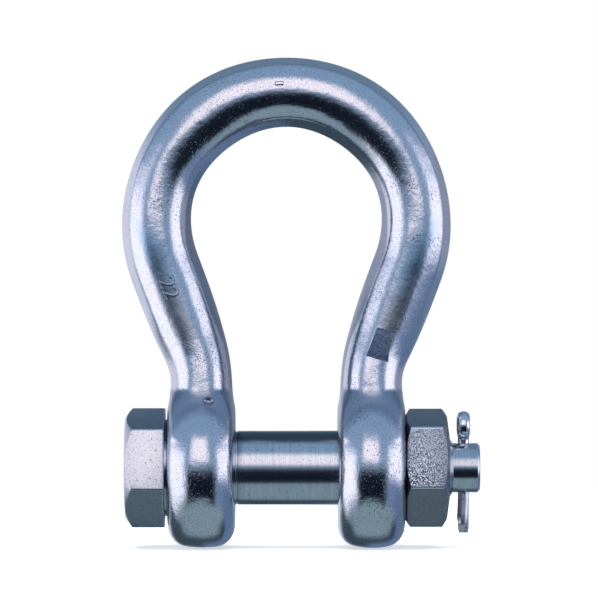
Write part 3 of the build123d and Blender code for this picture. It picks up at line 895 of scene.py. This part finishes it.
# ---- Split pin -------------------------------------------------------------------------
# Half-round stainless wire folded on itself, pushed through the dog end from above. Its
# back leg is the longer one, and the front leg has been nudged aside near its end.

WIRE_R, WIRE_GAP, WIRE_EDGE = 1.82, 0.06, 0.3
LOOP_R, LOOP_NECK_R, LOOP_START_Z = 2.9, 2.3, 9.0
SHORT_LEG_Z, LONG_LEG_Z = -18.0, -21.1
LOOP_SWELL, LEG_NUDGE = 0.14, 0.35
END_SHARE = 0.82

# the middle of the fold, as (y, z, which way its round side faces): up the front leg, round the
# loop between two necks, and down the back leg
neck_turn = math.acos((WIRE_GAP + LOOP_NECK_R) / (LOOP_R + LOOP_NECK_R))
loop_z = LOOP_START_Z + (LOOP_R + LOOP_NECK_R) * math.sin(neck_turn)
wire_line = []
for step in range(19):
    z = SHORT_LEG_Z + (LOOP_START_Z - SHORT_LEG_Z) * step / 18
    wire_line.append((-WIRE_GAP, z, math.pi))
for step in range(1, 9):
    turn = neck_turn * step / 8
    y, z = LOOP_NECK_R * (math.cos(turn) - 1) - WIRE_GAP, LOOP_START_Z + LOOP_NECK_R * math.sin(turn)
    wire_line.append((y, z, math.pi + turn))
front_count = len(wire_line)
for step in range(1, 40):
    turn = math.pi + neck_turn - (math.pi + 2 * neck_turn) * step / 40
    wire_line.append((LOOP_R * math.cos(turn), loop_z + LOOP_R * math.sin(turn), turn))
for step in range(9):
    turn = neck_turn * (1 - step / 8)
    y, z = WIRE_GAP + LOOP_NECK_R * (1 - math.cos(turn)), LOOP_START_Z + LOOP_NECK_R * math.sin(turn)
    wire_line.append((y, z, -turn))
for step in range(1, 22):
    wire_line.append((WIRE_GAP, LOOP_START_Z + (LONG_LEG_Z - LOOP_START_Z) * step / 21, 0.0))

section = []
for step in range(13):
    turn = math.pi * step / 12
    section.append((WIRE_R * math.cos(turn), WIRE_EDGE + (WIRE_R - WIRE_EDGE) * math.sin(turn)))
section += [(-WIRE_R + WIRE_EDGE * 0.7, 0.0), (WIRE_R - WIRE_EDGE * 0.7, 0.0)]

wire = bmesh.new()
rings = []
for i, (y, z, facing) in enumerate(wire_line):
    swell = 1 + LOOP_SWELL * smooth_step(z, 9.5, 12.5)
    nudge = -LEG_NUDGE * (1 - smooth_step(z, SHORT_LEG_Z, -9)) if i < front_count else 0.0
    end = END_SHARE if i in (0, len(wire_line) - 1) else 1.0
    ring = []
    for across, out in section:
        y1, z1 = y + math.cos(facing) * out * end, z + math.sin(facing) * out * end
        ring.append(wire.verts.new(Vector((PIN_X + nudge + across * swell * end, y1, z1)) * MM))
    rings.append(ring)
count = len(section)
for ring, next_ring in zip(rings, rings[1:]):
    for i in range(count):
        wire.faces.new((ring[i], ring[(i + 1) % count], next_ring[(i + 1) % count], next_ring[i]))
wire.faces.new(rings[0][::-1])
wire.faces.new(rings[-1])
bmesh.ops.recalc_face_normals(wire, faces=wire.faces)
split_pin = object_of(wire, "split_pin_wire")
bpy.ops.object.shade_smooth_by_angle(angle=math.radians(40))

# Drawn stainless wire: bright, with draw lines along it and a few dark nicks. The loop is shiny,
# and the legs are rubbed duller by going in and out of the hole.
LINE_SIZES, NICK = (0.4545, 1.429, 6.25), 1.111
drawn, tree = blank_material("drawn_stainless_wire")
place = add_node(tree, "ShaderNodeTexCoord").outputs["Object"]
where = add_node(tree, "ShaderNodeSeparateXYZ", {"Vector": place})
along = add_node(tree, "ShaderNodeMapping",
                 {"Vector": place, "Scale": [1 / (size * MM) for size in LINE_SIZES]})
lines = add_node(tree, "ShaderNodeTexNoise", {"Vector": along.outputs[0], "Scale": 1.0, "Detail": 3.0})
nicks = add_node(tree, "ShaderNodeTexNoise", {"Vector": place, "Scale": 1 / (NICK * MM), "Detail": 2.0})
nick = add_node(tree, "ShaderNodeMapRange", {0: nicks.outputs["Fac"], 1: 0.63, 2: 0.7})
tone = add_node(tree, "ShaderNodeMix", {0: lines.outputs["Fac"], 6: linear("#c4cad4"), 7: linear("#ffffff")},
                data_type="RGBA")
nicked = add_node(tree, "ShaderNodeMix", {0: nick.outputs[0], 6: tone.outputs[2], 7: linear("#3f454f")},
                  data_type="RGBA")
gloss = add_node(tree, "ShaderNodeMapRange", {0: where.outputs["Z"], 1: -6 * MM, 2: 8 * MM, 3: 0.36, 4: 0.14})
bump = add_node(tree, "ShaderNodeBump",
                {"Height": lines.outputs["Fac"], "Strength": 1.0, "Distance": 0.06 * MM})
shader = add_node(tree, "ShaderNodeBsdfPrincipled", {"Base Color": nicked.outputs[2], "Metallic": 1.0,
                                                     "Roughness": gloss.outputs[0],
                                                     "Normal": bump.outputs[0]})
add_node(tree, "ShaderNodeOutputMaterial", {"Surface": shader.outputs[0]})
split_pin.data.materials.append(drawn)
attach(split_pin, "split_pin")
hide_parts("split_pin")
